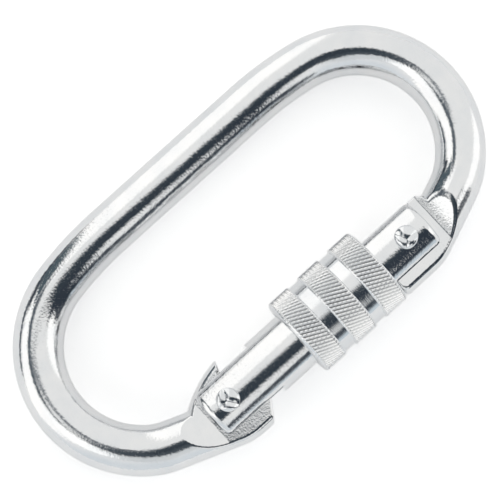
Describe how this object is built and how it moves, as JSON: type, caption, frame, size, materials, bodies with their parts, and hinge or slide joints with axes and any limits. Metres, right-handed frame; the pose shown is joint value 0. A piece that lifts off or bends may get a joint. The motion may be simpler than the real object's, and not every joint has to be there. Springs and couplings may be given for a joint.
{
  "type": "screwgate carabiner",
  "caption": "Oval steel carabiner whose forked, spring-closed gate hooks over a latch claw and is locked shut by a knurled screw sleeve.",
  "frame": {"origin": "Middle of the outline's box, halfway through the rod", "axes": "+X from the hinge to the latch, +Y towards the closed side, +Z through the thickness"},
  "size_m": [0.108, 0.055, 0.0174],
  "materials": {
    "forged_rod": "bright zinc plating over a smooth forged rod",
    "turned_gate": "bright zinc plating over turned steel",
    "pins": "bright steel, hammered heads",
    "knurled_sleeve": "bright zinc plating over a fine diamond knurl",
    "inner_steel": "plain steel"
  },
  "bodies": {
    "frame": {"body": "forged_rod"},
    "gate": {"gate": "turned_gate", "hinge_rivet": "pins", "latch_pin": "pins", "return_spring": "inner_steel"},
    "plunger": {"spring_plunger": "inner_steel"},
    "sleeve": {"locking_sleeve": "knurled_sleeve"}
  },
  "joints": [
    {"name": "gate_hinge", "type": "hinge", "parent": "frame", "child": "gate", "pos_m": [-0.0232, -0.0183, 0], "axis": [0, 0, 1], "range_deg": [0, 22], "stiffness_Nm_per_rad": 0.2, "springref_deg": -17.19},
    {"name": "plunger_slide", "type": "slide", "parent": "gate", "child": "plunger", "axis": [1, 0, 0], "range_m": [0, 0.00077], "deforming": ["return_spring"]},
    {"name": "sleeve_travel", "type": "slide", "parent": "gate", "child": "sleeve", "axis": [1, 0, 0], "range_m": [-0.011, 0]}
  ],
  "couplings": [
    {"joint": "plunger_slide", "follows": "gate_hinge", "m_per_rad": 0.002},
    {"joint": "sleeve_travel", "follows": "gate_hinge", "m_per_rad": -0.028647}
  ]
}
